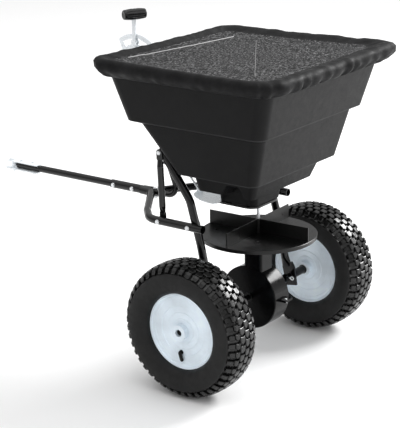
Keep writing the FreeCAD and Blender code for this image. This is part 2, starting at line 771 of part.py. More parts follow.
def base_bolts():
    floor_inside = HOPPER_LEVELS[0].z + HOPPER_WALL
    places = [(-29.0, 28.0), (14.0, 45.0)]
    bolts = []
    for x, y in places + [(x, -y) for x, y in places]:
        bolts.append(Bolt(V(x, y, BASE_LOW), V(0, 0, 1), floor_inside - BASE_LOW, 2.0))
    return bolts


def outlet_base():
    """Plate under the hopper: it carries the gate on two rails and holds a shaft bush."""
    plate = rounded_slab(BASE_X[1], BASE_X[0], BASE_HALF, 26.0, BASE_LOW, BASE_TOP)
    rail_z = (BASE_TOP - 0.5, HOPPER_LEVELS[0].z - 0.02)
    rails = [block(REAR_RAIL_X, (-REAR_RAIL_HALF, REAR_RAIL_HALF), rail_z),
             block(SIDE_RAIL_X, SIDE_RAIL_Y, rail_z),
             block(SIDE_RAIL_X, (-SIDE_RAIL_Y[0], -SIDE_RAIL_Y[1]), rail_z)]
    port = block(PORT_X, (-PORT_HALF - 3, PORT_HALF + 3), (BASE_LOW - 1, BASE_TOP + 5))
    hole = upright(SHAFT_X, 0, BASE_LOW - 1, BASE_TOP + 5, SHAFT_R + 4.0)
    return drilled(plate.fuse(rails).cut(port).cut(hole).removeSplitter(), base_bolts())


def base_screws():
    screws = []
    for bolt in base_bolts():
        inside = bolt.head + bolt.direction * bolt.grip
        head = rod(bolt.head + bolt.direction * -2.5, bolt.head, 4.0)
        stem = rod(bolt.head, inside + bolt.direction * 4, bolt.radius)
        nut = rod(inside, inside + bolt.direction * 3, 4.0)
        screws.append(head.fuse([stem, nut]))
    return group(screws)


def shaft_bush():
    """Flanged bush that steadies the shaft where it enters the hopper."""
    sleeve = upright(SHAFT_X, 0, BASE_LOW, HOPPER_LEVELS[0].z + HOPPER_WALL, SHAFT_R + 3.95)
    flange = upright(SHAFT_X, 0, BASE_LOW - 2, BASE_LOW, SHAFT_R + 7)
    bore = upright(SHAFT_X, 0, BASE_LOW - 5, 430, SHAFT_R + RUNNING)
    return sleeve.fuse(flange).cut(bore)


def shutoff_gate():
    """Sheet with a tongue under the outlet, wings outside it and a pulling tab."""
    outline = [(GATE_REAR, GATE_TONGUE)] + GATE_WING
    outline = outline + [(x, -y) for x, y in reversed(outline)]
    sheet = prism_xy(outline, GATE_Z, GATE_Z + GATE_THICK)
    tab = block(GATE_TAB_X, (GATE_TAB_Y - 1, GATE_TAB_Y + 1), (GATE_Z, ROD_FOOT.z + 7))
    bore = across(ROD_FOOT.x, ROD_FOOT.z, GATE_TAB_Y - 5, GATE_TAB_Y + 5, ROD_R + RUNNING)
    return sheet.fuse(tab).cut(bore).removeSplitter()


# ------------------------------------------------------------------ frame tubes

def support_points():
    """Route of the left support tube, from its top down to the axle plate."""
    return [V(156.6, SUPPORT_Y, 552), V(73, SUPPORT_Y, 437), V(43, SUPPORT_Y, 331), V(17, SUPPORT_Y, 213)]


def side_tube_bolts():
    """Left side tube to the strut's and the support's lower ends."""
    outer = SIDE_Y + SIDE_R
    to_strut = Bolt(V(STRUT_X, outer, TUBE_Z), V(0, -1, 0), outer - 169.4, BOLT_R)
    to_support = Bolt(V(support_x_at(TUBE_Z) + 3, outer, TUBE_Z), V(0, -1, 0),
                      outer - SUPPORT_Y + SUPPORT_R, BOLT_R)
    return [to_strut, to_support]


def support_x_at(z):
    upper, lower = support_points()[1:3]
    return upper.x + (lower.x - upper.x) * (z - upper.z) / (lower.z - upper.z)


def crown_bolts():
    """Strut top to support top, left side."""
    outer = SUPPORT_Y + SUPPORT_R + 0.2 + TAB_THICK
    return [Bolt(V(CROWN_BOLT[0], outer, CROWN_BOLT[1]), V(0, -1, 0), outer - SUPPORT_Y + SUPPORT_R, BOLT_R)]


def hopper_bolts():
    """Through both support tubes, the moulded pads and the hopper's front wall."""
    top, down, into = support_top_run()
    middle = top + down * 33
    wall_gap = (middle.x - hopper_front_at(middle.z)) * -into.x
    bolts = []
    for y in (-SUPPORT_Y, SUPPORT_Y):
        start = V(middle.x, y, middle.z) - into * SUPPORT_R
        bolts.append(Bolt(start, into, SUPPORT_R + wall_gap + 2 * HOPPER_WALL, BOLT_R))
    return bolts


def tow_bolts():
    return [Bolt(V(x, SLEEVE_R, TUBE_Z), V(0, -1, 0), 2 * SLEEVE_R, BOLT_R) for x in (372.0, 434.0)]


def mirror_bolts(bolts):
    flipped = []
    for bolt in bolts:
        head = V(bolt.head.x, -bolt.head.y, bolt.head.z)
        direction = V(bolt.direction.x, -bolt.direction.y, bolt.direction.z)
        flipped.append(Bolt(head, direction, bolt.grip, bolt.radius))
    return flipped


def frame_bolt_places():
    one_side = side_tube_bolts() + crown_bolts()
    return one_side + mirror_bolts(one_side) + hopper_bolts() + tow_bolts()


def tow_tube():
    tube = pipe(V(TOW_REAR, 0, TUBE_Z), V(TOW_FRONT, 0, TUBE_Z), TOW_R, TOW_R - TOW_WALL)
    return drilled(tube, tow_bolts() + hitch_bolt_places() + post_clamp_bolts())


def side_tube():
    """Left side tube: a half sleeve round the tow tube, a swept bend and a long tail."""
    points = [V(345, 6.0, TUBE_Z), V(311, 8.5, TUBE_Z), V(224, SIDE_Y - 48, TUBE_Z),
              V(180, SIDE_Y, TUBE_Z), V(SIDE_REAR, SIDE_Y, TUBE_Z)]
    bends = [16.0, 60.0, 48.0]
    path = route(points, bends)
    outside = swept(path, SIDE_R)
    inside = swept(path, SIDE_R - SIDE_WALL)
    sleeve = rod(V(SLEEVE_REAR - 6, 0, TUBE_Z), V(SLEEVE_FRONT, 0, TUBE_Z), SLEEVE_R)
    tow_room = rod(V(SLEEVE_REAR - 45, 0, TUBE_Z), V(SLEEVE_FRONT + 1, 0, TUBE_Z), TOW_R + 0.1)
    far_half = block((200, 500), (-40, 0.15), (TUBE_Z - 40, TUBE_Z + 40))
    tube = outside.fuse(sleeve).cut(inside).cut(tow_room).cut(far_half).removeSplitter()
    return drilled(tube, side_tube_bolts() + tow_bolts())


def flattened_end(round_centre, flat_centre, radius, half_wide, half_thin):
    """Tube end squeezed from round to a flat oval, wide in the XZ plane."""
    heading = (flat_centre - round_centre).normalize()
    wide = Y_AXIS.cross(heading).normalize()
    start = oval(round_centre, heading, wide, radius, radius - 0.01)
    end = oval(flat_centre, heading, wide, half_wide, half_thin)
    return Part.makeLoft([start, end], True, True)


def support_tube():
    """Left support tube with a flat plate round the axle at its lower end."""
    points = support_points()
    path = route(points, [60.0, 90.0])
    tube = swept(path, SUPPORT_R).cut(swept(path, SUPPORT_R - SUPPORT_WALL))
    squeeze = flattened_end(points[-1], V(9, SUPPORT_Y, 186), SUPPORT_R, 15.0, SUPPORT_TAB / 2)
    plate = prism_xz([(19, 200), (-5, 203), (-13, 190), (-20, 143), (11, 138), (23, 187)],
                     SUPPORT_Y - SUPPORT_TAB / 2, SUPPORT_Y + SUPPORT_TAB / 2)
    hole = across(0, AXLE_Z, SUPPORT_Y - 20, SUPPORT_Y + 20, 9.0)
    body = tube.fuse([squeeze, plate]).cut(hole).removeSplitter()
    return drilled(body, side_tube_bolts()[1:] + crown_bolts() + hopper_bolts())


def strut():
    """Left strut: round bar with both ends squeezed flat for a bolt."""
    low = V(STRUT_X, 171.5, TUBE_Z)
    high = V(CROWN_BOLT[0], SUPPORT_Y + SUPPORT_R + 0.2 + TAB_THICK / 2, CROWN_BOLT[1])
    along = (high - low).normalize()
    wide = Y_AXIS.cross(along).normalize()
    half = TAB_THICK / 2
    bar = Part.makeLoft([oval(low + along * 14, along, wide, TAB_HALF - 0.8, half * 0.7),
                         oval(low + along * 34, along, wide, STRUT_R, STRUT_R - 0.01),
                         oval(high - along * 34, along, wide, STRUT_R, STRUT_R - 0.01),
                         oval(high - along * 14, along, wide, TAB_HALF - 0.8, half * 0.7)], True, True)
    tabs = []
    for bolt_at, inward in ((low, along), (high, along * -1)):
        y_span = (bolt_at.y - half, bolt_at.y + half)
        tab_end = bolt_at + inward * 18
        tabs.append(across(bolt_at.x, bolt_at.z, y_span[0], y_span[1], TAB_HALF))
        tabs.append(flat_bar(bolt_at, tab_end, TAB_HALF, y_span))
    body = bar.fuse(tabs).removeSplitter()
    return drilled(body, side_tube_bolts()[:1] + crown_bolts())


def axle_bushes():
    """Flanged bushes in both axle plates."""
    bushes = []
    for side in (-1, 1):
        inner = side * (SUPPORT_Y - SUPPORT_TAB / 2 - 2.0)
        plate_face = side * (SUPPORT_Y + SUPPORT_TAB / 2 + 0.02)
        outer = side * (SUPPORT_Y + SUPPORT_TAB / 2 + 3.5)
        sleeve = across(0, AXLE_Z, inner, outer, 8.95)
        flange = across(0, AXLE_Z, plate_face, outer, 12.5)
        bore = across(0, AXLE_Z, inner - side, outer + side, AXLE_R + RUNNING)
        bushes.append(sleeve.fuse(flange).cut(bore))
    return group(bushes)


# ------------------------------------------------------------------------ hitch

def hitch_bolt_places():
    reach = TOW_R + PLATE_THICK
    places = (719.0, 759.0)
    return [Bolt(V(x, 0, TUBE_Z + reach), V(0, 0, -1), 2 * reach, BOLT_R) for x in places]


def hitch_plate(z_low, pin_radius):
    """Flat strap with a round nose, bored for the hitch pin."""
    z_high = z_low + PLATE_THICK
    nose_x = PLATE_FRONT - PLATE_HALF
    strap = block((PLATE_REAR, nose_x), (-PLATE_HALF, PLATE_HALF), (z_low, z_high))
    nose = upright(nose_x, 0, z_low, z_high, PLATE_HALF)
    bore = upright(PIN_X, 0, z_low - 1, z_high + 1, pin_radius + 0.08)
    return drilled(strap.fuse(nose).removeSplitter().cut(bore), hitch_bolt_places())


def hitch_bolts():
    return group([round_head_bolt(bolt).fuse(hexagon_nut(bolt)) for bolt in hitch_bolt_places()])


def hitch_pin():
    """Drop-in pin in three steps: thicker in the upper plate, thinner in the lower one."""
    top = TUBE_Z + TOW_R + PLATE_THICK + 0.3
    low = TUBE_Z - TOW_R - PLATE_THICK - PIN_TIP
    reach = TOW_R - PIN_STEP_GAP
    thick = PIN_R + PIN_STEP
    thin = PIN_R - PIN_STEP
    shank_side = [(0, low), (thin - 2, low), (thin, low + 3), (thin, TUBE_Z - reach - 0.3),
                  (PIN_R, TUBE_Z - reach), (PIN_R, TUBE_Z + reach), (thick, TUBE_Z + reach + 0.3),
                  (thick, top)]
    head_side = [(PIN_HEAD_R, top), (PIN_HEAD_R, top + PIN_HEAD - 1), (PIN_HEAD_R - 1, top + PIN_HEAD),
                 (0, top + PIN_HEAD)]
    return turned_z(shank_side + head_side, PIN_X)


# ----------------------------------------------------------------- flow control

def post_direction():
    return V(PIVOT.x - POST_FOOT_X, 0, PIVOT.z - TUBE_Z - 30).normalize()


def post_clamp_bolts():
    return [Bolt(V(304, 0, TUBE_Z + TOW_R), V(0, 0, -1), 2 * TOW_R, 2.5)]


def plate_bolts():
    """The bolt that keeps the quadrant from turning about the lever's pivot."""
    lower = PIVOT - post_direction() * 30
    reach = PLATE_Y[1] + POST_R
    return [Bolt(V(lower.x, PLATE_Y[1], lower.z), V(0, -1, 0), reach, BOLT_R)]


def pivot_bolt_place():
    return Bolt(V(PIVOT.x, LEVER_Y[1] + 0.4, PIVOT.z), V(0, -1, 0), LEVER_Y[1] + 0.4 + POST_R, 4.0)


def control_bolts():
    bolts = plate_bolts() + [pivot_bolt_place()] + post_clamp_bolts()
    return group([round_head_bolt(bolt).fuse(hexagon_nut(bolt)) for bolt in bolts])


def control_post():
    """Tube from inside the tow tube's rear end, up a tight elbow to the lever pivot."""
    corner = V(POST_FOOT_X - 12, 0, TUBE_Z)
    up = (PIVOT - corner).normalize()
    points = [V(332, 0, TUBE_Z), corner, PIVOT + up * 14]
    post = bent_tube(points, [POST_ELBOW_R], POST_R, POST_WALL)
    return drilled(post, plate_bolts() + [pivot_bolt_place()] + post_clamp_bolts())


def quadrant():
    """Upright plate with an arc slot that guides the lever."""
    half = QUADRANT_HALF_ANGLE
    rim = arc_points(QUADRANT_R, 90 - half, 90 + half, 16, (PIVOT.x, PIVOT.z))
    foot = [(PIVOT.x - 34, PIVOT.z - 44), (PIVOT.x + 12, PIVOT.z - 44)]
    plate = prism_xz(rim + foot, PLATE_Y[0], PLATE_Y[1])
    slot_half = SLOT_HALF_ANGLE
    slot = arc_points(SLOT_R[1], 90 - slot_half, 90 + slot_half, 14, (PIVOT.x, PIVOT.z))
    slot = slot + arc_points(SLOT_R[0], 90 + slot_half, 90 - slot_half, 14, (PIVOT.x, PIVOT.z))
    window = prism_xz(slot, PLATE_Y[0] - 1, PLATE_Y[1] + 1)
    return drilled(plate.cut(window), plate_bolts() + [pivot_bolt_place()])


def arm_tip():
    """Where the control rod hooks into the lever: square to the rod's own line."""
    line = V(PIVOT.x, 0, PIVOT.z) - V(ROD_FOOT.x, 0, ROD_FOOT.z)
    tilt = math.atan2(line.z, line.x) - math.asin(ARM_LENGTH / line.Length)
    return V(PIVOT.x + ARM_LENGTH * math.sin(tilt), 0, PIVOT.z - ARM_LENGTH * math.cos(tilt))


def guide_places():
    middle = (SLOT_R[0] + SLOT_R[1]) / 2
    return V(PIVOT.x, 0, PIVOT.z + middle)


def control_lever():
    """Flat strip from the pivot to the grip, with a short slotted arm for the rod."""
    y_low, y_high = LEVER_Y
    along = (arm_tip() - PIVOT).normalize()
    slot_start = arm_tip() + along * ROD_SLOT[0]
    slot_end = arm_tip() + along * ROD_SLOT[1]
    strip = block((PIVOT.x - LEVER_HALF, PIVOT.x + LEVER_HALF), LEVER_Y, (PIVOT.z, LEVER_TOP))
    eye = across(PIVOT.x, PIVOT.z, y_low, y_high, 11.0)
    tip_eye = across(slot_end.x, slot_end.z, y_low, y_high, 8.0)
    arm = flat_bar(PIVOT, slot_end, 7.0, LEVER_Y)
    body = strip.fuse([eye, tip_eye, arm]).removeSplitter()
    body = body.cut(across(PIVOT.x, PIVOT.z, y_low - 1, y_high + 1, 4.0 + RUNNING))
    slot = flat_bar(slot_start, slot_end, ROD_SLOT_HALF, (y_low - 1, y_high + 1))
    for end in (slot_start, slot_end):
        slot = slot.fuse(across(end.x, end.z, y_low - 1, y_high + 1, ROD_SLOT_HALF))
    body = body.cut(slot)
    guide = guide_places()
    return body.cut(across(guide.x, guide.z, y_low - 1, y_high + 1, GUIDE_R + 0.02))


def slot_guide():
    """Stud on the lever that runs in the quadrant's slot, with a washer behind."""
    guide = guide_places()
    stud = across(guide.x, guide.z, PLATE_Y[0] - 5, LEVER_Y[1] + 0.2, GUIDE_R)
    head = across(guide.x, guide.z, LEVER_Y[1] + 0.2, LEVER_Y[1] + 3.2, GUIDE_R + 2.5)
    washer = across(guide.x, guide.z, PLATE_Y[0] - 3.5, PLATE_Y[0] - 0.5, 9.0)
    return stud.fuse([head, washer]).removeSplitter()


def lever_grip():
    """Barrel grip across the top of the lever, with shallow finger flutes."""
    centre = V(PIVOT.x - 2, (LEVER_Y[0] + LEVER_Y[1]) / 2, GRIP_Z)
    half = GRIP_LENGTH / 2
    barrel = turned_z([(0, -half), (GRIP_R - 4.5, -half), (GRIP_R - 2, 3 - half), (GRIP_R, -half / 3),
                       (GRIP_R, half / 3), (GRIP_R - 2, half - 3), (GRIP_R - 4.5, half), (0, half)])
    flutes = []
    for x, y in arc_points(GRIP_R + 1.4, 0, 315, 7):
        flutes.append(upright(x, y, 6 - half, half - 6, 2.6))
    grip = barrel.cut(group(flutes))
    grip.rotate(V(0, 0, 0), X_AXIS, -90)
    grip.rotate(V(0, 0, 0), Z_AXIS, -GRIP_TURN)
    grip.translate(centre)
    slot = block((PIVOT.x - LEVER_HALF - 0.02, PIVOT.x + LEVER_HALF + 0.02),
                 (LEVER_Y[0] - 0.02, LEVER_Y[1] + 0.02), (GRIP_Z - 20, LEVER_TOP + 0.02))
    return grip.cut(slot)


def control_rod():
    """Straight rod with a hook through the gate's tab and one through the lever's arm."""
    tip = arm_tip()
    far_y = GATE_TAB_Y + 6.0
    low = V(ROD_FOOT.x, far_y, ROD_FOOT.z)
    high = V(tip.x, far_y, tip.z)
    main = rod(low, high, ROD_R)
    knees = [Part.makeSphere(ROD_R, low), Part.makeSphere(ROD_R, high)]
    foot_hook = rod(V(low.x, GATE_TAB_Y - 4, low.z), low, ROD_R)
    lever_hook = rod(V(high.x, LEVER_Y[0], high.z), high, ROD_R)
    return main.fuse(knees + [foot_hook, lever_hook]).removeSplitter()


# ------------------------------------------------------------------------ cover

def rain_cover():
    """Fabric cover as a thick closed cap with a pocket for the hopper's rim."""
    body = rounded_slab(COVER_FRONT, COVER_REAR, COVER_HALF, COVER_CORNER, COVER_LOW, COVER_TOP)
    rims = [e for e in body.Edges if abs(e.BoundBox.ZMax - e.BoundBox.ZMin) < 0.1]
    body = body.makeFillet(14.0, rims)
    top = HOPPER_LEVELS[-1]
    out = LIP_OUT + COVER_GAP
    pocket = rounded_slab(top.front + out, top.rear - out, top.half + out, top.corner + out,
                          COVER_LOW - 1, top.z + 0.5)
    return body.cut(pocket)


def main():
    os.makedirs("parts", exist_ok=True)
    save_wheel("left", True)
    save_wheel("right", False)

    save("axle", axle())
    save("crown_gear", crown_gear())
    save("crown_gear_pin", crown_pin())
    save("drive_pin", drive_pin())
    save("retaining_rings", retaining_rings())
    save("spacer_left", spacer())
    save("spacer_right", mirrored(spacer()))
    save("axle_collars", axle_collars())
    save("cotter_pins", cotter_pins())

    save("impeller", impeller())
    save("impeller_shaft", impeller_shaft())
    save("impeller_pin", impeller_pin_bar(0))
    save("agitator", agitator_bar(0))
    save("pinion", pinion())

    case_upper, case_lower = case_halves()
    save("gear_case_upper", case_upper)
    save("gear_case_lower", case_lower)
    save("case_screws", case_screws())
    save("case_bushes", case_bushes())

    save("hopper", hopper())
    save("outlet_base", outlet_base())
    save("base_screws", base_screws())
    save("shaft_bush", shaft_bush())
    save("shutoff_gate", shutoff_gate())

    save("tow_tube", tow_tube())
    save("side_tube_left", side_tube())
    save("side_tube_right", mirrored(side_tube()))
    save("support_tube_left", support_tube())
    save("support_tube_right", mirrored(support_tube()))
    save("strut_left", strut())
    save("strut_right", mirrored(strut()))
    save("axle_bushes", axle_bushes())
    save("frame_bolts", group([round_head_bolt(bolt) for bolt in frame_bolt_places()]))
    save("frame_nuts", group([hexagon_nut(bolt) for bolt in frame_bolt_places()]))

    save("hitch_plate_upper", hitch_plate(TUBE_Z + TOW_R, PIN_R + PIN_STEP))
    save("hitch_plate_lower", hitch_plate(TUBE_Z - TOW_R - PLATE_THICK, PIN_R - PIN_STEP))
    save("hitch_bolts", hitch_bolts())
    save("hitch_pin", hitch_pin())

    save("control_post", control_post())
    save("quadrant", quadrant())
    save("control_bolts", control_bolts())
    save("control_lever", control_lever())
    save("slot_guide", slot_guide())
    save("lever_grip", lever_grip())
    save("control_rod", control_rod())

    save("rain_cover", rain_cover())


main()
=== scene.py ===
import math

import bpy
from mathutils import Matrix, Vector, noise
from mathutils.bvhtree import BVHTree


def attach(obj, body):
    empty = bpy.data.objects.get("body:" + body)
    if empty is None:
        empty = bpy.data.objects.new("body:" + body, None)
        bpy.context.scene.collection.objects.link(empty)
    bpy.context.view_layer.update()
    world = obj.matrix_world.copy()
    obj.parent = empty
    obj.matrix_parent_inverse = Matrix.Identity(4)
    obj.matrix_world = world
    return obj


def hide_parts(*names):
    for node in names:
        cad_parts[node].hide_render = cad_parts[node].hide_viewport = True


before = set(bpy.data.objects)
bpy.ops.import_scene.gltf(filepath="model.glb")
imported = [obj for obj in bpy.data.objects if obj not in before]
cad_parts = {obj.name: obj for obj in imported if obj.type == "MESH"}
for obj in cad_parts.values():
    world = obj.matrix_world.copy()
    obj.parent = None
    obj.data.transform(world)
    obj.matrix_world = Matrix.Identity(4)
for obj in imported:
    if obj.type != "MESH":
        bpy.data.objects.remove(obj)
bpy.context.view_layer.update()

# Metres in the row frame.  The axle stands over X = AXLE_X.
AXLE_X = -0.2895
AXLE_Z = 0.165
HALF_TRACK = 0.268

# Heights where the hopper's wall steps in; the hopper finish paints a highlight line at each.
LEDGE_HEIGHTS = (0.6268, 0.5023)


# ------------------------------------------------------------------ node materials

class Finish:
    """One procedural material, built node by node around a Principled shader."""

    def __init__(self, name, color, rough, metal=0.0):
        self.material = bpy.data.materials.new(name)
        self.material.use_nodes = True
        self.tree = self.material.node_tree
        self.tree.nodes.clear()
        self.out = self.add("ShaderNodeOutputMaterial")
        self.shader = self.add("ShaderNodeBsdfPrincipled")
        self.join(self.shader.outputs[0], self.out.inputs[0])
        self.shader.inputs["Base Color"].default_value = (*color, 1.0)
        self.shader.inputs["Roughness"].default_value = rough
        self.shader.inputs["Metallic"].default_value = metal
        self.place = self.add("ShaderNodeTexCoord").outputs["Object"]
        self.normal = None

    def add(self, kind, **settings):
        node = self.tree.nodes.new(kind)
        for key, value in settings.items():
            setattr(node, key, value)
        return node

    def join(self, source, target):
        self.tree.links.new(source, target)

    def set(self, **values):
        for key, value in values.items():
            self.shader.inputs[key.replace("_", " ")].default_value = value
        return self

    def stretched(self, scale):
        mapping = self.add("ShaderNodeMapping")
        mapping.inputs["Scale"].default_value = scale
        self.join(self.place, mapping.inputs["Vector"])
        return mapping.outputs[0]

    def noise(self, scale, detail=3.0, rough=0.5, stretch=None):
        node = self.add("ShaderNodeTexNoise")
        node.inputs["Scale"].default_value = scale
        node.inputs["Detail"].default_value = detail
        node.inputs["Roughness"].default_value = rough
        self.join(self.stretched(stretch) if stretch else self.place, node.inputs["Vector"])
        return node.outputs["Fac"]

    def cells(self, scale, output="Distance"):
        node = self.add("ShaderNodeTexVoronoi")
        node.inputs["Scale"].default_value = scale
        self.join(self.place, node.inputs["Vector"])
        return node.outputs[output]

    def remap(self, value, from_low, from_high, to_low, to_high):
        node = self.add("ShaderNodeMapRange")
        for index, number in enumerate((from_low, from_high, to_low, to_high), start=1):
            node.inputs[index].default_value = number
        self.join(value, node.inputs[0])
        return node.outputs[0]

    def math(self, operation, a, b):
        node = self.add("ShaderNodeMath", operation=operation)
        for socket, value in zip(node.inputs, (a, b)):
            if isinstance(value, (int, float)):
                socket.default_value = value
            else:
                self.join(value, socket)
        return node.outputs[0]

    def ramp(self, value, stops):
        node = self.add("ShaderNodeValToRGB")
        ramp = node.color_ramp
        while len(ramp.elements) < len(stops):
            ramp.elements.new(0.5)
        for element, (position, color) in zip(ramp.elements, stops):
            element.position = position
            element.color = (*color, 1.0)
        self.join(value, node.inputs[0])
        return node.outputs[0]

    def mix(self, amount, a, b):
        node = self.add("ShaderNodeMix", data_type="RGBA")
        self.join(amount, node.inputs[0])
        for socket, value in ((node.inputs[6], a), (node.inputs[7], b)):
            if isinstance(value, tuple):
                socket.default_value = (*value, 1.0)
            else:
                self.join(value, socket)
        return node.outputs[2]

    def color(self, source):
        self.join(source, self.shader.inputs["Base Color"])
        return self

    def rough(self, source):
        self.join(source, self.shader.inputs["Roughness"])
        return self

    def bump(self, height, strength, distance):
        node = self.add("ShaderNodeBump")
        node.inputs["Strength"].default_value = strength
        node.inputs["Distance"].default_value = distance
        self.join(height, node.inputs["Height"])
        if self.normal:
            self.join(self.normal, node.inputs["Normal"])
        self.normal = node.outputs[0]
        self.join(self.normal, self.shader.inputs["Normal"])
        return self


def shade(color, factor):
    return tuple(channel * factor for channel in color)


def painted(name, color, rough, coat=0.4, peel=0.35, shine=0.5):
    """Gloss paint: orange peel, faint dust in the roughness, small colour drift."""
    made = Finish(name, color, rough).set(Coat_Weight=coat, Coat_Roughness=0.12, Specular_IOR_Level=shine)
    drift = made.noise(14, 4)
    made.color(made.ramp(drift, [(0.3, shade(color, 0.86)), (0.7, shade(color, 1.14))]))
    made.rough(made.remap(made.noise(40, 5, 0.65), 0.3, 0.75, rough * 0.75, rough * 1.45))
    return made.bump(made.noise(420, 2), peel, 0.00025).material


def plastic(name, color, rough, grain, depth, shine=0.3):
    """Moulded plastic: fine spark-eroded grain, scuffs that change the roughness."""
    made = Finish(name, color, rough).set(Specular_IOR_Level=shine)
    cloudy = made.noise(9, 5, 0.6)
    made.color(made.ramp(cloudy, [(0.25, shade(color, 0.82)), (0.75, shade(color, 1.2))]))
    scuff = made.noise(60, 6, 0.7, stretch=(1.0, 1.0, 0.25))
    made.rough(made.remap(scuff, 0.3, 0.7, rough * 0.88, rough * 1.15))
    return made.bump(made.cells(grain), 0.5, depth).material


def hopper_shell(name):
    """Moulded hopper: fine grain, and a painted highlight: lighter colour along the edges where the wall
    steps in.
    """
    color = (0.0066, 0.0066, 0.0069)
    made = Finish(name, color, 0.52).set(Specular_IOR_Level=0.12)
    split = made.add("ShaderNodeSeparateXYZ")
    made.join(made.place, split.inputs[0])
    # Painted highlight: a thin band of lighter colour at each ledge height stands in for the floor
    # reflecting in the rounded edge.
    edge = None
    for height in LEDGE_HEIGHTS:
        away = made.math("ABSOLUTE", made.math("SUBTRACT", split.outputs["Z"], height), 0.0)
        line = made.remap(away, 0.0004, 0.0020, 1.0, 0.0)
        edge = line if edge is None else made.math("MAXIMUM", edge, line)
    cloudy = made.noise(9, 5, 0.6)
    base = made.ramp(cloudy, [(0.25, shade(color, 0.82)), (0.75, shade(color, 1.2))])
    # The painted highlight band is broken up by noise, then mixed into the colour.
    painted_ledge_highlight = made.math("MULTIPLY", edge, made.remap(made.noise(24, 4), 0.3, 0.6, 0.45, 1.0))
    made.color(made.mix(painted_ledge_highlight, base, (0.034, 0.034, 0.035)))
    made.rough(made.remap(made.noise(60, 6, 0.7), 0.3, 0.7, 0.47, 0.58))
    return made.bump(made.cells(1100), 0.5, 0.0002).material


def plated(name, color, rough, spangle=260.0, metal=0.85):
    """Zinc plate: faint crystals, drawn lines and a cloudy passivation."""
    made = Finish(name, color, rough, metal)
    crystal = made.cells(spangle, output="Color")
    split = made.add("ShaderNodeSeparateColor")
    made.join(crystal, split.inputs[0])
    tone = made.ramp(split.outputs[0], [(0.0, shade(color, 0.9)), (1.0, shade(color, 1.04))])
    cloud = made.noise(35, 5, 0.6)
    made.color(made.mix(made.remap(cloud, 0.35, 0.7, 0.0, 0.5), tone, shade(color, 0.85)))
    made.rough(made.remap(split.outputs[1], 0.0, 1.0, rough * 0.8, rough * 1.3))
    return made.bump(made.noise(900, 3, 0.6), 0.15, 0.0002).material


def rubber(name, color, rough, grain=700, depth=0.0003, shine=0.3):
    """Moulded rubber: cloudy bloom and a fine pebbled skin."""
    made = Finish(name, color, rough).set(Specular_IOR_Level=shine)
    bloom = made.noise(22, 6, 0.62)
    made.color(made.ramp(bloom, [(0.3, shade(color, 0.75)), (0.72, shade(color, 1.35))]))
    made.rough(made.remap(made.noise(90, 4), 0.3, 0.7, rough * 0.85, rough * 1.2))
    made.bump(made.noise(grain, 3, 0.6), 0.35, depth)
    return made.material


def hem_cloth(name):
    """Coated nylon: plain weave, soft sheen, wear along the folds."""
    color = (0.0082, 0.0082, 0.0086)
    made = Finish(name, color, 0.6).set(Specular_IOR_Level=0.12)
    made.color(made.ramp(made.noise(30, 6, 0.6), [(0.3, shade(color, 0.6)), (0.75, shade(color, 1.7))]))
    made.rough(made.remap(made.noise(45, 4), 0.3, 0.7, 0.5, 0.72))
    warp = made.add("ShaderNodeTexWave", wave_type="BANDS", bands_direction="X")
    weft = made.add("ShaderNodeTexWave", wave_type="BANDS", bands_direction="Y")
    for wave in (warp, weft):
        wave.inputs["Scale"].default_value = 260
        wave.inputs["Distortion"].default_value = 0.6
        made.join(made.place, wave.inputs["Vector"])
    weave = made.math("MULTIPLY", warp.outputs["Fac"], weft.outputs["Fac"])
    made.bump(weave, 0.25, 0.0003)
    return made.bump(made.noise(120, 5, 0.6), 0.35, 0.0012).material


def speckled_top(name):
    """Grainy coated top panel: short grey flecks and a few bright sparks."""
    made = Finish(name, (0.05, 0.05, 0.05), 0.7).set(Specular_IOR_Level=0.15)
    fleck = made.noise(250, 3, 0.75, stretch=(1.0, 0.6, 1.0))
    tones = [(0.44, (0.001, 0.001, 0.001)), (0.53, (0.010, 0.010, 0.011)), (0.62, (0.19, 0.19, 0.193))]
    base = made.ramp(fleck, tones)
    spark = made.cells(170)
    chosen = made.remap(made.noise(90, 2), 0.56, 0.66, 0.0, 1.0)
    glint = made.math("MULTIPLY", made.remap(spark, 0.0, 0.22, 1.0, 0.0), chosen)
    made.color(made.mix(glint, base, (0.75, 0.75, 0.76)))
    made.rough(made.remap(fleck, 0.35, 0.65, 0.7, 0.45))
    made.bump(fleck, 0.5, 0.0009)
    return made.bump(made.noise(60, 4, 0.6), 0.3, 0.0015).material


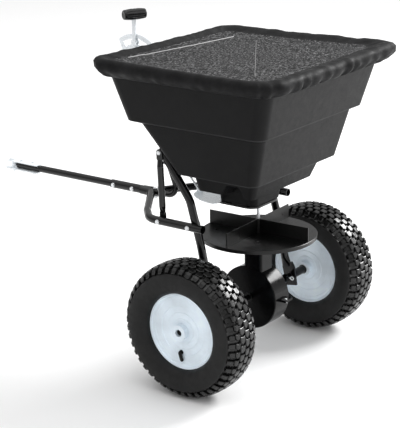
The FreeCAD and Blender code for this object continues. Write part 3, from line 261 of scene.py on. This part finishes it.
finishes = {
    "hopper": hopper_shell("hopper_polyethylene"),
    "frame": painted("black_gloss_frame", (0.0025, 0.0025, 0.0028), 0.13, coat=0.0, shine=0.42),
    "case": painted("black_satin_case", (0.0015, 0.0015, 0.0017), 0.15, coat=0.0, shine=0.13),
    "wheel": painted("pale_wheel_enamel", (0.80, 0.895, 0.975), 0.38, coat=0.15, peel=0.15),
    "nylon_black": plastic("black_nylon", (0.0035, 0.0035, 0.0035), 0.3, grain=1500, depth=0.0001),
    "zinc": plated("bright_zinc", (0.93, 0.97, 1.0), 0.32, metal=0.12),
    "gate": plated("gate_zinc", (0.93, 0.97, 1.0), 0.3, spangle=900, metal=0.85),
    "bolt": plated("bolt_zinc", (0.86, 0.88, 0.9), 0.3, spangle=900, metal=0.6),
    "steel": plated("ground_steel", (0.56, 0.57, 0.59), 0.25, spangle=1200, metal=1.0),
    "iron": plated("oiled_iron", (0.16, 0.155, 0.15), 0.4, spangle=1500, metal=0.9),
    "nylon": plastic("natural_nylon", (0.55, 0.53, 0.48), 0.45, grain=1600, depth=0.0001),
    "tube": rubber("tube_rubber", (0.004, 0.004, 0.004), 0.5, grain=1000, depth=0.00015),
    "sidewall": rubber("tyre_sidewall", (0.0095, 0.0095, 0.0095), 0.55, grain=900, depth=0.0001,
        shine=0.24),
    "tread": rubber("tyre_tread", (0.003, 0.003, 0.003), 0.26, grain=500, depth=0.0001, shine=0.46),
    "grip": rubber("grip_rubber", (0.0012, 0.0012, 0.0012), 0.2, grain=900, depth=0.00015, shine=0.5),
    "hem": hem_cloth("cover_hem_cloth"),
    "top": speckled_top("cover_top_panel"),
    "cord": painted("cover_piping", (0.5, 0.5, 0.5), 0.5, coat=0.0),
    "seam": painted("cover_seam_thread", (0.17, 0.17, 0.17), 0.6, coat=0.0),
}

NODE_FINISH = {
    "hopper": "hopper", "rain_cover": "hem", "lever_grip": "grip", "shutoff_gate": "gate",
    "tow_tube": "frame", "control_post": "frame",
    "gear_case_upper": "case", "gear_case_lower": "case", "axle": "case", "axle_collars": "case",
    "crown_gear": "iron", "pinion": "iron", "crown_gear_pin": "steel", "impeller_shaft": "steel",
    "outlet_base": "nylon_black", "impeller": "nylon_black", "case_bushes": "nylon_black",
    # The retaining rings take the black nylon finish so the hub's bore reads dark: painted shade inside the
    # hub.
    "retaining_rings": "nylon_black", "axle_bushes": "nylon_black", "shaft_bush": "nylon",
    "frame_bolts": "bolt", "frame_nuts": "bolt", "control_bolts": "bolt", "base_screws": "bolt",
    "case_screws": "bolt",
}
SIDED_FINISH = {
    "tyre": "sidewall", "inner_tube": "tube", "rim_outer": "wheel", "rim_inner": "wheel", "hub": "wheel",
    # The hub bushes take the black nylon finish so the hub's bore reads dark: painted shade inside the hub.
    "valve": "tube", "hub_bushes": "nylon_black", "spacer": "nylon_black", "side_tube": "frame",
    "support_tube": "frame", "strut": "frame",
}
for node_name, node_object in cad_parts.items():
    stem = node_name.rsplit("_", 1)[0]
    finish = NODE_FINISH.get(node_name) or SIDED_FINISH.get(stem, "zinc")
    node_object.data.materials.clear()
    node_object.data.materials.append(finishes[finish])


# -------------------------------------------------------------------- mesh helpers

def mesh_piece(name, points, faces, body, slots, face_slots=None, round_faces=None):
    """A piece that rides on a body; its first round_faces faces (or all) are shaded smooth."""
    mesh = bpy.data.meshes.new(name)
    mesh.from_pydata([tuple(point) for point in points], [], faces)
    for key in slots:
        mesh.materials.append(finishes[key])
    if face_slots:
        mesh.polygons.foreach_set("material_index", face_slots)
    smooth_count = len(faces) if round_faces is None else round_faces
    mesh.polygons.foreach_set("use_smooth", [index < smooth_count for index in range(len(faces))])
    mesh.update()
    piece = bpy.data.objects.new(name, mesh)
    bpy.context.scene.collection.objects.link(piece)
    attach(piece, body)
    return piece


def loop_faces(first, second, count):
    """Quads between two closed rows of vertices that start at first and second."""
    faces = []
    for index in range(count):
        following = (index + 1) % count
        faces.append((first + index, first + following, second + following, second + index))
    return faces


def smooth_line(points, steps):
    """Catmull-Rom points through the given points, steps to a span."""
    line = []
    last = len(points) - 1
    for index in range(last):
        a = Vector(points[max(index - 1, 0)])
        b = Vector(points[index])
        c = Vector(points[index + 1])
        d = Vector(points[min(index + 2, last)])
        for step in range(steps):
            t = step / steps
            line.append(0.5 * ((2 * b) + (c - a) * t + (2 * a - 5 * b + 4 * c - d) * t * t
                               + (3 * b - a - 3 * c + d) * t * t * t))
    line.append(Vector(points[last]))
    return line


# --------------------------------------------------------------------------- tyres

TREAD_TOP = 0.165
LUGS_ROUND = 46
TREAD_SEGMENTS = 216
SIDEWALL_POINTS = [(0.0775, 0.0265), (0.0870, 0.0272), (0.0905, 0.0310), (0.0930, 0.0322), (0.0946, 0.0400),
                   (0.0990, 0.0468), (0.1070, 0.0522), (0.1180, 0.0547), (0.1280, 0.0547),
                   (0.1365, 0.0535), (0.1410, 0.0524)]
SHOULDER_STEP = [(0.1420, 0.0520), (0.1424, 0.0508), (0.1438, 0.0499)]
BASE_POINTS = [(0.0, 0.1590), (0.012, 0.1586), (0.024, 0.1570), (0.0325, 0.1538), (0.0390, 0.1492),
               (0.0445, 0.1454), (0.0488, 0.1436)]
TOP_POINTS = [(0.0, 0.1650), (0.012, 0.1648), (0.024, 0.1638), (0.034, 0.1614), (0.0415, 0.1575),
              (0.0475, 0.1515), (0.0512, 0.1452)]
TREAD_LENGTH = 0.0665
COLUMN_PITCH = 0.0160
LUG_WIDTH = 0.0144
# half lengths at a lug's inner end, middle and outer end
CENTRE_LUG = (0.0066, 0.0092, 0.0066)
OUTER_LUG = (0.0062, 0.0080, 0.0060)
SHOULDER_LUG = (0.0060, 0.0064, 0.0054)
LUG_BEND = 0.0030
SHOULDER_START = 0.0415
SHOULDER_REACH = 0.0115


def along(points, share):
    """Point of a (y, r) line at a share of its way from the middle of the tread."""
    place = min(max(share, 0.0), 1.0) * (len(points) - 1)
    index = min(int(place), len(points) - 2)
    a, b = Vector(points[index]), Vector(points[index + 1])
    return a.lerp(b, place - index)


BASE_LINE = smooth_line(BASE_POINTS, 6)
TOP_LINE = smooth_line(TOP_POINTS, 6)


def tread_point(across_tread, round_tread, height):
    """Tread coordinates (signed metres from the middle, metres round, 0 groove to 1 top)."""
    share = abs(across_tread) / TREAD_LENGTH
    spot = along(BASE_LINE, share).lerp(along(TOP_LINE, share), height)
    angle = round_tread / TREAD_TOP
    y = math.copysign(spot.x, across_tread)
    return Vector((spot.y * math.cos(angle), y, spot.y * math.sin(angle)))


def lug(points, faces, middle, width, start, half_lengths, bend=0.0):
    """One moulded block, bent to a chevron: rounded top grid and a skirt that flares into the groove."""
    us = [-1.0, -0.8, 0.0, 0.8, 1.0]
    vs = [-1.0, -0.78, 0.78, 1.0]
    base = len(points)

    def half_at(u):
        inner, centre, outer = half_lengths
        return centre + (outer - centre) * u if u > 0 else centre + (centre - inner) * u

    for u in us:
        for v in vs:
            edge = max(abs(u) > 0.9, abs(v) > 0.9)
            across_tread = middle + u * width / 2
            round_tread = start + v * half_at(u) + bend * (0.5 - abs(u))
            points.append(tread_point(across_tread, round_tread, 0.8 if edge else 1.0))
    for i in range(4):
        for j in range(3):
            a = base + i * 4 + j
            faces.append((a, a + 4, a + 5, a + 1))
    border = ([(i, 0) for i in range(4)] + [(4, j) for j in range(3)]
              + [(i, 3) for i in range(4, 0, -1)] + [(0, j) for j in range(3, 0, -1)])
    skirt = len(points)
    for i, j in border:
        u = us[i] * 1.09
        v = vs[j] * 1.09
        round_tread = start + v * half_at(us[i]) + bend * (0.5 - abs(us[i]))
        points.append(tread_point(middle + u * width / 2, round_tread, -0.12))
    count = len(border)
    for index, (i, j) in enumerate(border):
        following = (index + 1) % count
        ni, nj = border[following]
        faces.append((base + ni * 4 + nj, base + i * 4 + j, skirt + index, skirt + following))


def tyre(side_name, body, side):
    """Smooth carcass with a turf tread of separate blocks, turned about the axle line."""
    profile = [(y, r) for r, y in [tuple(p) for p in smooth_line(SIDEWALL_POINTS, 4)] + SHOULDER_STEP]
    base_half = [tuple(p) for p in BASE_LINE]
    half = profile + base_half[::-1]
    full = half + [(-y, r) for y, r in half[::-1][1:]]
    points, faces = [], []
    for y, r in full:
        for step in range(TREAD_SEGMENTS):
            angle = 2 * math.pi * step / TREAD_SEGMENTS
            points.append(Vector((r * math.cos(angle), y, r * math.sin(angle))))
    for row in range(len(full) - 1):
        faces += loop_faces(row * TREAD_SEGMENTS, (row + 1) * TREAD_SEGMENTS, TREAD_SEGMENTS)
    carcass_faces = len(faces)
    groove_rows = range(len(profile) - 1, len(full) - len(profile))
    pitch = 2 * math.pi * TREAD_TOP / LUGS_ROUND
    for number in range(LUGS_ROUND):
        at = number * pitch
        for column in (-2, -1, 0, 1, 2):
            shift = pitch / 2 if column % 2 else 0.0
            sway = 0.0006 * math.sin(number * 2.4 + column)
            halves = OUTER_LUG if abs(column) == 2 else CENTRE_LUG
            lug(points, faces, column * COLUMN_PITCH, LUG_WIDTH, at + shift + sway, halves, LUG_BEND)
        for edge in (-1, 1):
            long_one = 1.0 if number % 2 else 0.55
            width = SHOULDER_REACH * (1 + long_one)
            lug(points, faces, edge * (SHOULDER_START + width / 2), width, at, SHOULDER_LUG)
    slots = []
    for index in range(carcass_faces):
        slots.append(1 if index // TREAD_SEGMENTS in groove_rows else 0)
    slots += [1] * (len(faces) - carcass_faces)
    centre = Vector((AXLE_X, side * HALF_TRACK, AXLE_Z))
    placed = [centre + Vector((p.x, p.y * side, p.z)) for p in points]
    if side < 0:
        faces = [face[::-1] for face in faces]
    piece = mesh_piece("tyre_" + side_name + "_treaded", placed, faces, body, ["sidewall", "tread"], slots,
                       carcass_faces)
    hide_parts("tyre_" + side_name)


tyre("left", "drive_axle", 1)
tyre("right", "idler_wheel", -1)


# ------------------------------------------------------------------------- grip

GRIP_CENTRE = Vector((AXLE_X + 0.3475, 0.0132, 0.832))
GRIP_TURN = math.radians(28)
GRIP_HALF = 0.030
GRIP_BARREL_R = 0.0143
GRIP_TAPER = 0.0027
GRIP_RIBS = 10
RIB_DEPTH = 0.0017
# shares of the half length where the ribs have faded out and where the end starts to round off
RIB_END = 0.84
RIB_FADE = 0.12
ROUND_FROM = 0.93
ROUND_OVER = 0.07
ROUND_DROP = 0.0022
GRIP_END_DISH = 0.0015
GRIP_END_R = 0.0062


def grip_radius(along_grip, angle):
    """Barrel outline with ribs that fade out towards both ends."""
    share = abs(along_grip) / GRIP_HALF
    barrel = GRIP_BARREL_R - GRIP_TAPER * share ** 2.2
    if share > ROUND_FROM:
        barrel -= ROUND_DROP * ((share - ROUND_FROM) / ROUND_OVER) ** 2
    rib_room = min(max((RIB_END - share) / RIB_FADE, 0.0), 1.0)
    rib = abs(math.sin(GRIP_RIBS * angle / 2)) ** 0.7
    ring_dip = 0.0006 * math.exp(-((share - 0.12) / 0.07) ** 2)
    return barrel - rib_room * RIB_DEPTH * (1 - rib) - ring_dip


def ribbed_grip():
    sides, stations = 120, 64
    forward = Vector((math.sin(GRIP_TURN), math.cos(GRIP_TURN), 0))
    side = Vector((math.cos(GRIP_TURN), -math.sin(GRIP_TURN), 0))
    up = Vector((0, 0, 1))
    points, faces = [], []
    for station in range(stations + 1):
        along_grip = GRIP_HALF * (2 * station / stations - 1)
        for step in range(sides):
            angle = 2 * math.pi * step / sides
            radius = grip_radius(along_grip, angle)
            points.append(GRIP_CENTRE + forward * along_grip + side * (radius * math.cos(angle))
                          + up * (radius * math.sin(angle)))
    for row in range(stations):
        faces += loop_faces(row * sides, (row + 1) * sides, sides)
    for end, share in ((0, -1), (stations, 1)):
        rim = end * sides
        dish = len(points)
        for step in range(sides):
            angle = 2 * math.pi * step / sides
            points.append(GRIP_CENTRE + forward * (share * (GRIP_HALF - GRIP_END_DISH))
                          + side * (GRIP_END_R * math.cos(angle)) + up * (GRIP_END_R * math.sin(angle)))
        ring = loop_faces(rim, dish, sides)
        cap = tuple(range(dish, dish + sides))
        faces += [face[::-1] for face in ring] if share < 0 else ring
        faces.append(cap if share > 0 else cap[::-1])
    faces = [face[::-1] for face in faces]
    piece = mesh_piece("lever_grip_ribbed", points, faces, "lever", ["grip"])
    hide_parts("lever_grip")


ribbed_grip()


# --------------------------------------------------------------------- rain cover

def rounded_ring(front, rear, half, radii, sides=60, turns=22):
    """Rounded rectangle as points with outward directions, always the same count."""
    ring = []
    a, b, c, d = radii
    corners = [(front - a, half - a, 0), (rear + b, half - b, 90),
               (rear + c, c - half, 180), (front - d, d - half, 270)]
    for index, (cx, cy, start) in enumerate(corners):
        corner = radii[index]
        for step in range(turns):
            angle = math.radians(start + 90 * step / turns)
            out = Vector((math.cos(angle), math.sin(angle)))
            ring.append((Vector((cx, cy)) + corner * out, out))
        end_angle = math.radians(start + 90)
        out = Vector((math.cos(end_angle), math.sin(end_angle)))
        begin = Vector((cx, cy)) + corner * out
        nx, ny, next_start = corners[(index + 1) % 4]
        turn = math.radians(next_start)
        finish_at = Vector((nx, ny)) + radii[(index + 1) % 4] * Vector((math.cos(turn), math.sin(turn)))
        for step in range(sides):
            ring.append((begin.lerp(finish_at, step / sides), out))
    return ring


def soft_noise(x, y, z, scale):
    return noise.noise(Vector((x, y, z)) * scale)


COVER_FRONT = -0.0145
COVER_REAR = -0.5245
COVER_HALF = 0.2830
HEM_WIDTH = 0.064
OUTER = rounded_ring(COVER_FRONT, COVER_REAR, COVER_HALF, (0.040, 0.082, 0.040, 0.046))
INNER = rounded_ring(-0.0525, -0.4605, 0.2230, (0.020, 0.050, 0.020, 0.020))
WALL = rounded_ring(-0.0356, -0.4920, 0.2495, (0.033, 0.033, 0.033, 0.033))
PANEL_HEIGHT = 0.7617
PANEL_MIDDLE = 0.7601
PANEL_SHARES = [0.1, 0.2, 0.3, 0.4, 0.5, 0.6, 0.7, 0.78, 0.85, 0.91, 0.96]
# how far the gathered hem stands out and lifts, in metres
PUCKER_SPACING = 0.043
PUCKER_TOP = 0.0020
PUCKER_BELOW = 0.0040
WAVE_DEPTH = 0.0032
FINE_DEPTH = 0.0010
MAX_PUSH = 0.0045
CORNER_SPREAD = 0.17
# (share towards the wall outline, inset from the outer outline, height)
HEM_SECTION = [(0.0, 0.0640, 0.7620), (0.0, 0.0550, 0.7626), (0.0, 0.0460, 0.7645), (0.0, 0.0365, 0.7680),
               (0.0, 0.0260, 0.7712), (0.0, 0.0160, 0.7722), (0.0, 0.0078, 0.7694), (0.0, 0.0020, 0.7630),
               (0.0, 0.0006, 0.7550), (0.0, 0.0028, 0.7480), (0.0, 0.0070, 0.7416), (0.16, 0.0096, 0.7370),
               (0.46, 0.0070, 0.7345), (0.75, 0.0030, 0.7345), (0.93, 0.0, 0.7360), (1.0, 0.0, 0.7386)]
HIGH_CORNERS = [((-0.02, 0.26), 0.0050), ((-0.50, -0.26), 0.0055)]


def corner_lift(x, y):
    """The hem stands a little higher at two opposite corners."""
    lift = 0.0
    for (cx, cy), height in HIGH_CORNERS:
        lift += height * math.exp(-((x - cx) ** 2 + (y - cy) ** 2) / CORNER_SPREAD ** 2)
    return lift


def gather_strength(x, y):
    """How strongly the elastic puckers the hem: most behind, least beside and ahead."""
    rear = min(max((-0.44 - x) / 0.05, 0.0), 1.0)
    far = min(max((-0.19 - y) / 0.05, 0.0), 1.0)
    front = min(max((x + 0.09) / 0.05, 0.0), 1.0)
    return max(0.25, 1.0 * rear, 0.9 * far, 0.75 * front)


def cover():
    points, faces, slots = [], [], []
    count = len(OUTER)
    lengths = [0.0]
    for index in range(count):
        a, b = OUTER[index][0], OUTER[(index + 1) % count][0]
        lengths.append(lengths[-1] + (b - a).length)
    centre = Vector(((COVER_FRONT + COVER_REAR) / 2, 0.0))
    for share in PANEL_SHARES:
        for index in range(count):
            flat = centre.lerp(INNER[index][0], share)
            sag = -0.0016 * (1 - share) + 0.0011 * soft_noise(flat.x, flat.y, 0.0, 14)
            ripple = 0.0009 * soft_noise(flat.x, flat.y, 3.0, 46) * share
            raised = corner_lift(flat.x, flat.y) * share ** 4
            points.append(Vector((flat.x, flat.y, PANEL_HEIGHT + sag + ripple + raised)))
    panel_rows = len(PANEL_SHARES)
    for station, (toward, inset, height) in enumerate(HEM_SECTION):
        low = min(max((0.7600 - height) / 0.018, 0.0), 1.0)
        for index in range(count):
            outer_at, out = OUTER[index]
            wall_at = WALL[index][0]
            tuck = corner_lift(outer_at.x, outer_at.y) * (1.9 * low - 0.75) * (1.0 - toward)
            inner_at = INNER[index][0]
            base = (outer_at.lerp(inner_at, inset / HEM_WIDTH) - out * tuck).lerp(wall_at, toward)
            s = lengths[index]
            strength = gather_strength(base.x, base.y)
            wave = soft_noise(s, 0.0, 7.0, 16) + 0.5 * soft_noise(s, 0.0, 11.0, 34)
            pucker = math.sin(s * 2 * math.pi / PUCKER_SPACING + 4.0 * soft_noise(s, 0, 5.0, 14))
            pucker = pucker * (0.8 + 1.1 * soft_noise(s, 0, 9.0, 15))
            fine = soft_noise(s, height * 0.6, 2.0, 110)
            edge_fade = 1.0 if station < len(HEM_SECTION) - 4 else 0.35
            gathers = (PUCKER_TOP + PUCKER_BELOW * low) * pucker * edge_fade
            push = strength * (WAVE_DEPTH * wave + gathers + FINE_DEPTH * fine)
            if station < 2:
                push *= 0.3
            lift = strength * WAVE_DEPTH * wave * min(station / 3.0, 1.0) * (1.0 if height > 0.755 else 0.6)
            lift += 0.0012 * soft_noise(s, 1.0, 1.0, 28) * min(station / 2.0, 1.0)
            lift += corner_lift(base.x, base.y) * (1.0 if station < 8 else 0.0)
            at = base + out * min(push, MAX_PUSH)
            points.append(Vector((at.x, at.y, height + lift)))
    rows = panel_rows + len(HEM_SECTION)
    middle = len(points)
    points.append(Vector((centre.x, centre.y, PANEL_MIDDLE)))
    for index in range(count):
        faces.append((middle, (index + 1) % count, index))
        slots.append(0)
    for row in range(rows - 1):
        faces += loop_faces((row + 1) * count, row * count, count)
        slots += [0 if row < panel_rows + 1 else 1] * count
    faces = [face if len(face) == 3 else face[::-1] for face in faces]
    piece = mesh_piece("rain_cover_cloth", points, faces, "cover", ["top", "hem"], slots)
    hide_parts("rain_cover")
    return piece


cover_cloth = cover()


def tube_along(name, line, radius, body, key, sides=10):
    """Round cord through the points of a line."""
    points, faces = [], []
    for index, at in enumerate(line):
        ahead = (line[min(index + 1, len(line) - 1)] - line[max(index - 1, 0)]).normalized()
        side = ahead.cross(Vector((0, 0, 1))).normalized()
        up = side.cross(ahead)
        for step in range(sides):
            angle = 2 * math.pi * step / sides
            points.append(at + side * (radius * math.cos(angle)) + up * (radius * math.sin(angle)))
    for row in range(len(line) - 1):
        faces += loop_faces(row * sides, (row + 1) * sides, sides)
    faces.append(tuple(range(sides))[::-1])
    faces.append(tuple(len(points) - sides + step for step in range(sides)))
    piece = mesh_piece(name, points, faces, body, [key])
    return piece


cloth_tree = BVHTree.FromPolygons([vertex.co for vertex in cover_cloth.data.vertices],
                                  [tuple(polygon.vertices) for polygon in cover_cloth.data.polygons])


def line_on_cloth(start, finish, steps, gap):
    """Straight line in plan, laid on the cloth from above."""
    line = []
    for step in range(steps + 1):
        x, y = Vector(start).lerp(Vector(finish), step / steps)
        top = cloth_tree.ray_cast(Vector((AXLE_X + x, y, 0.9)), Vector((0, 0, -1)))[0]
        line.append(top + Vector((0, 0, gap)))
    return line


# ends of the piping and the seam in plan, measured from the axle
PIPING_ENDS = ((0.2334, 0.1838), (0.1828, -0.1780))
SEAM_ENDS = ((0.1053, -0.1643), (-0.1204, 0.1742))
LINE_STEPS = 60

piping_line = line_on_cloth(*PIPING_ENDS, LINE_STEPS, 0.0006)
piping = tube_along("cover_piping", piping_line, 0.0009, "cover", "cord")
seam_line = line_on_cloth(*SEAM_ENDS, LINE_STEPS, 0.0004)
seam = tube_along("cover_seam", seam_line, 0.0008, "cover", "seam")


# ------------------------------------------------------------------------- camera

def look_from(place, back, roll_degrees, lens):
    camera = bpy.data.objects.new("camera", bpy.data.cameras.new("camera"))
    bpy.context.scene.collection.objects.link(camera)
    back = Vector(back).normalized()
    right = (-back).cross(Vector((0, 0, 1))).normalized()
    up = right.cross(-back)
    roll = math.radians(roll_degrees)
    turned_right = right * math.cos(roll) + up * math.sin(roll)
    turned_up = up * math.cos(roll) - right * math.sin(roll)
    frame_axes = Matrix((turned_right, turned_up, back)).transposed()
    camera.matrix_world = Matrix.Translation(place) @ frame_axes.to_4x4()
    camera.data.lens = lens
    camera.data.sensor_width = 36.0
    camera.data.clip_start = 0.05
    camera.data.clip_end = 60.0
    bpy.context.scene.camera = camera


CAMERA_PLACE = (-2.2820, 2.9297, 1.4937)
CAMERA_BACK = (-0.5653, 0.7679, 0.3014)
CAMERA_ROLL = -0.744
CAMERA_LENS = 128.29
look_from(CAMERA_PLACE, CAMERA_BACK, CAMERA_ROLL, CAMERA_LENS)


# --------------------------------------------------------------- floor and lights

def soft_light(name, place, target, size, power):
    light = bpy.data.lights.new(name, "AREA")
    light.shape = "RECTANGLE"
    light.size, light.size_y = size
    light.energy = power
    lamp = bpy.data.objects.new(name, light)
    lamp.location = place
    lamp.rotation_mode = "QUATERNION"
    lamp.rotation_quaternion = (Vector(target) - Vector(place)).to_track_quat("-Z", "Y")
    bpy.context.scene.collection.objects.link(lamp)


LIT_POINT = (-0.3, 0, 0.4)
SKY_BRIGHT = 1.12
SKY_STOPS = [(0.0, 0.893), (0.07, 0.893), (0.15, 0.29), (0.45, 0.55), (0.85, 1.0)]


def sky_light(tree):
    """Studio surround: white at floor level, dim above it, bright overhead."""
    place = tree.nodes.new("ShaderNodeTexCoord").outputs["Generated"]
    split = tree.nodes.new("ShaderNodeSeparateXYZ")
    tree.links.new(place, split.inputs[0])
    ramp = tree.nodes.new("ShaderNodeValToRGB")
    while len(ramp.color_ramp.elements) < len(SKY_STOPS):
        ramp.color_ramp.elements.new(0.5)
    for element, (position, level) in zip(ramp.color_ramp.elements, SKY_STOPS):
        element.position = position
        element.color = (level, level, level, 1.0)
    tree.links.new(split.outputs["Z"], ramp.inputs[0])
    tree.nodes["Background"].inputs[1].default_value = SKY_BRIGHT
    tree.links.new(ramp.outputs[0], tree.nodes["Background"].inputs[0])


def studio():
    world = bpy.data.worlds.new("studio")
    world.use_nodes = True
    sky_light(world.node_tree)
    bpy.context.scene.world = world
    bpy.context.scene.view_settings.view_transform = "Standard"
    reach = 12.0
    floor_mesh = bpy.data.meshes.new("floor")
    floor_mesh.from_pydata([(-reach, -reach, 0), (reach, -reach, 0), (reach, reach, 0), (-reach, reach, 0)],
                           [], [(0, 1, 2, 3)])
    floor = bpy.data.objects.new("floor", floor_mesh)
    bpy.context.scene.collection.objects.link(floor)
    paper = Finish("studio_paper", (0.93, 0.93, 0.93), 0.9)
    paper.bump(paper.noise(60, 3), 0.05, 0.001)
    floor_mesh.materials.append(paper.material)
    soft_light("key", (-1.75, -3.3, 2.75), LIT_POINT, (1.9, 1.5), 228)
    soft_light("fill", (-3.3, -1.7, 1.0), LIT_POINT, (3.2, 2.0), 24)
    soft_light("top", (-0.4, 0.6, 3.2), LIT_POINT, (2.4, 2.4), 14)


studio()
